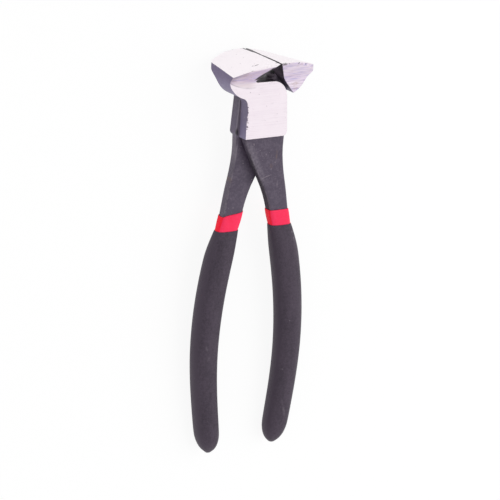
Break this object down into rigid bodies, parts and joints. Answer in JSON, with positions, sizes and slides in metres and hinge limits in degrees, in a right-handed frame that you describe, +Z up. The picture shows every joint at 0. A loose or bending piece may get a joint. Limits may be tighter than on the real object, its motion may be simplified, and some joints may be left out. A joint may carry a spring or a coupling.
{
  "type": "end cutting nippers",
  "caption": "Hand tool with broad flared jaws whose cutting edges meet across the end, a flush-riveted lap joint, crossed shanks and bowed dipped grips, for cutting wire or nails flush.",
  "frame": {"origin": "centre of the bounding box on the table that the closed tool lies on, jaws and grip ends down", "axes": "+Y along the tool towards the jaws, +Z up through the front cheek, +X towards the handle that belongs to the front half"},
  "size_m": [0.0624, 0.2007, 0.0332],
  "materials": {
    "steel": "bright ground cheeks and jaws, black oxide on the sides and shanks",
    "rivet_steel": "ground flush with the cheeks",
    "red_vinyl": "dipped vinyl, satin",
    "black_vinyl": "dipped vinyl, matt and fine-grained"
  },
  "bodies": {
    "front_half": {"front_half": "steel", "rivet": "rivet_steel", "right_band": "red_vinyl", "right_grip": "black_vinyl"},
    "rear_half": {"rear_half": "steel", "left_band": "red_vinyl", "left_grip": "black_vinyl"}
  },
  "joints": [
    {"name": "pivot", "type": "hinge", "parent": "front_half", "child": "rear_half", "pos_m": [0, 0.07292, 0.01519], "axis": [0, 0.0562, -0.9984], "range_deg": [0, 40]}
  ]
}
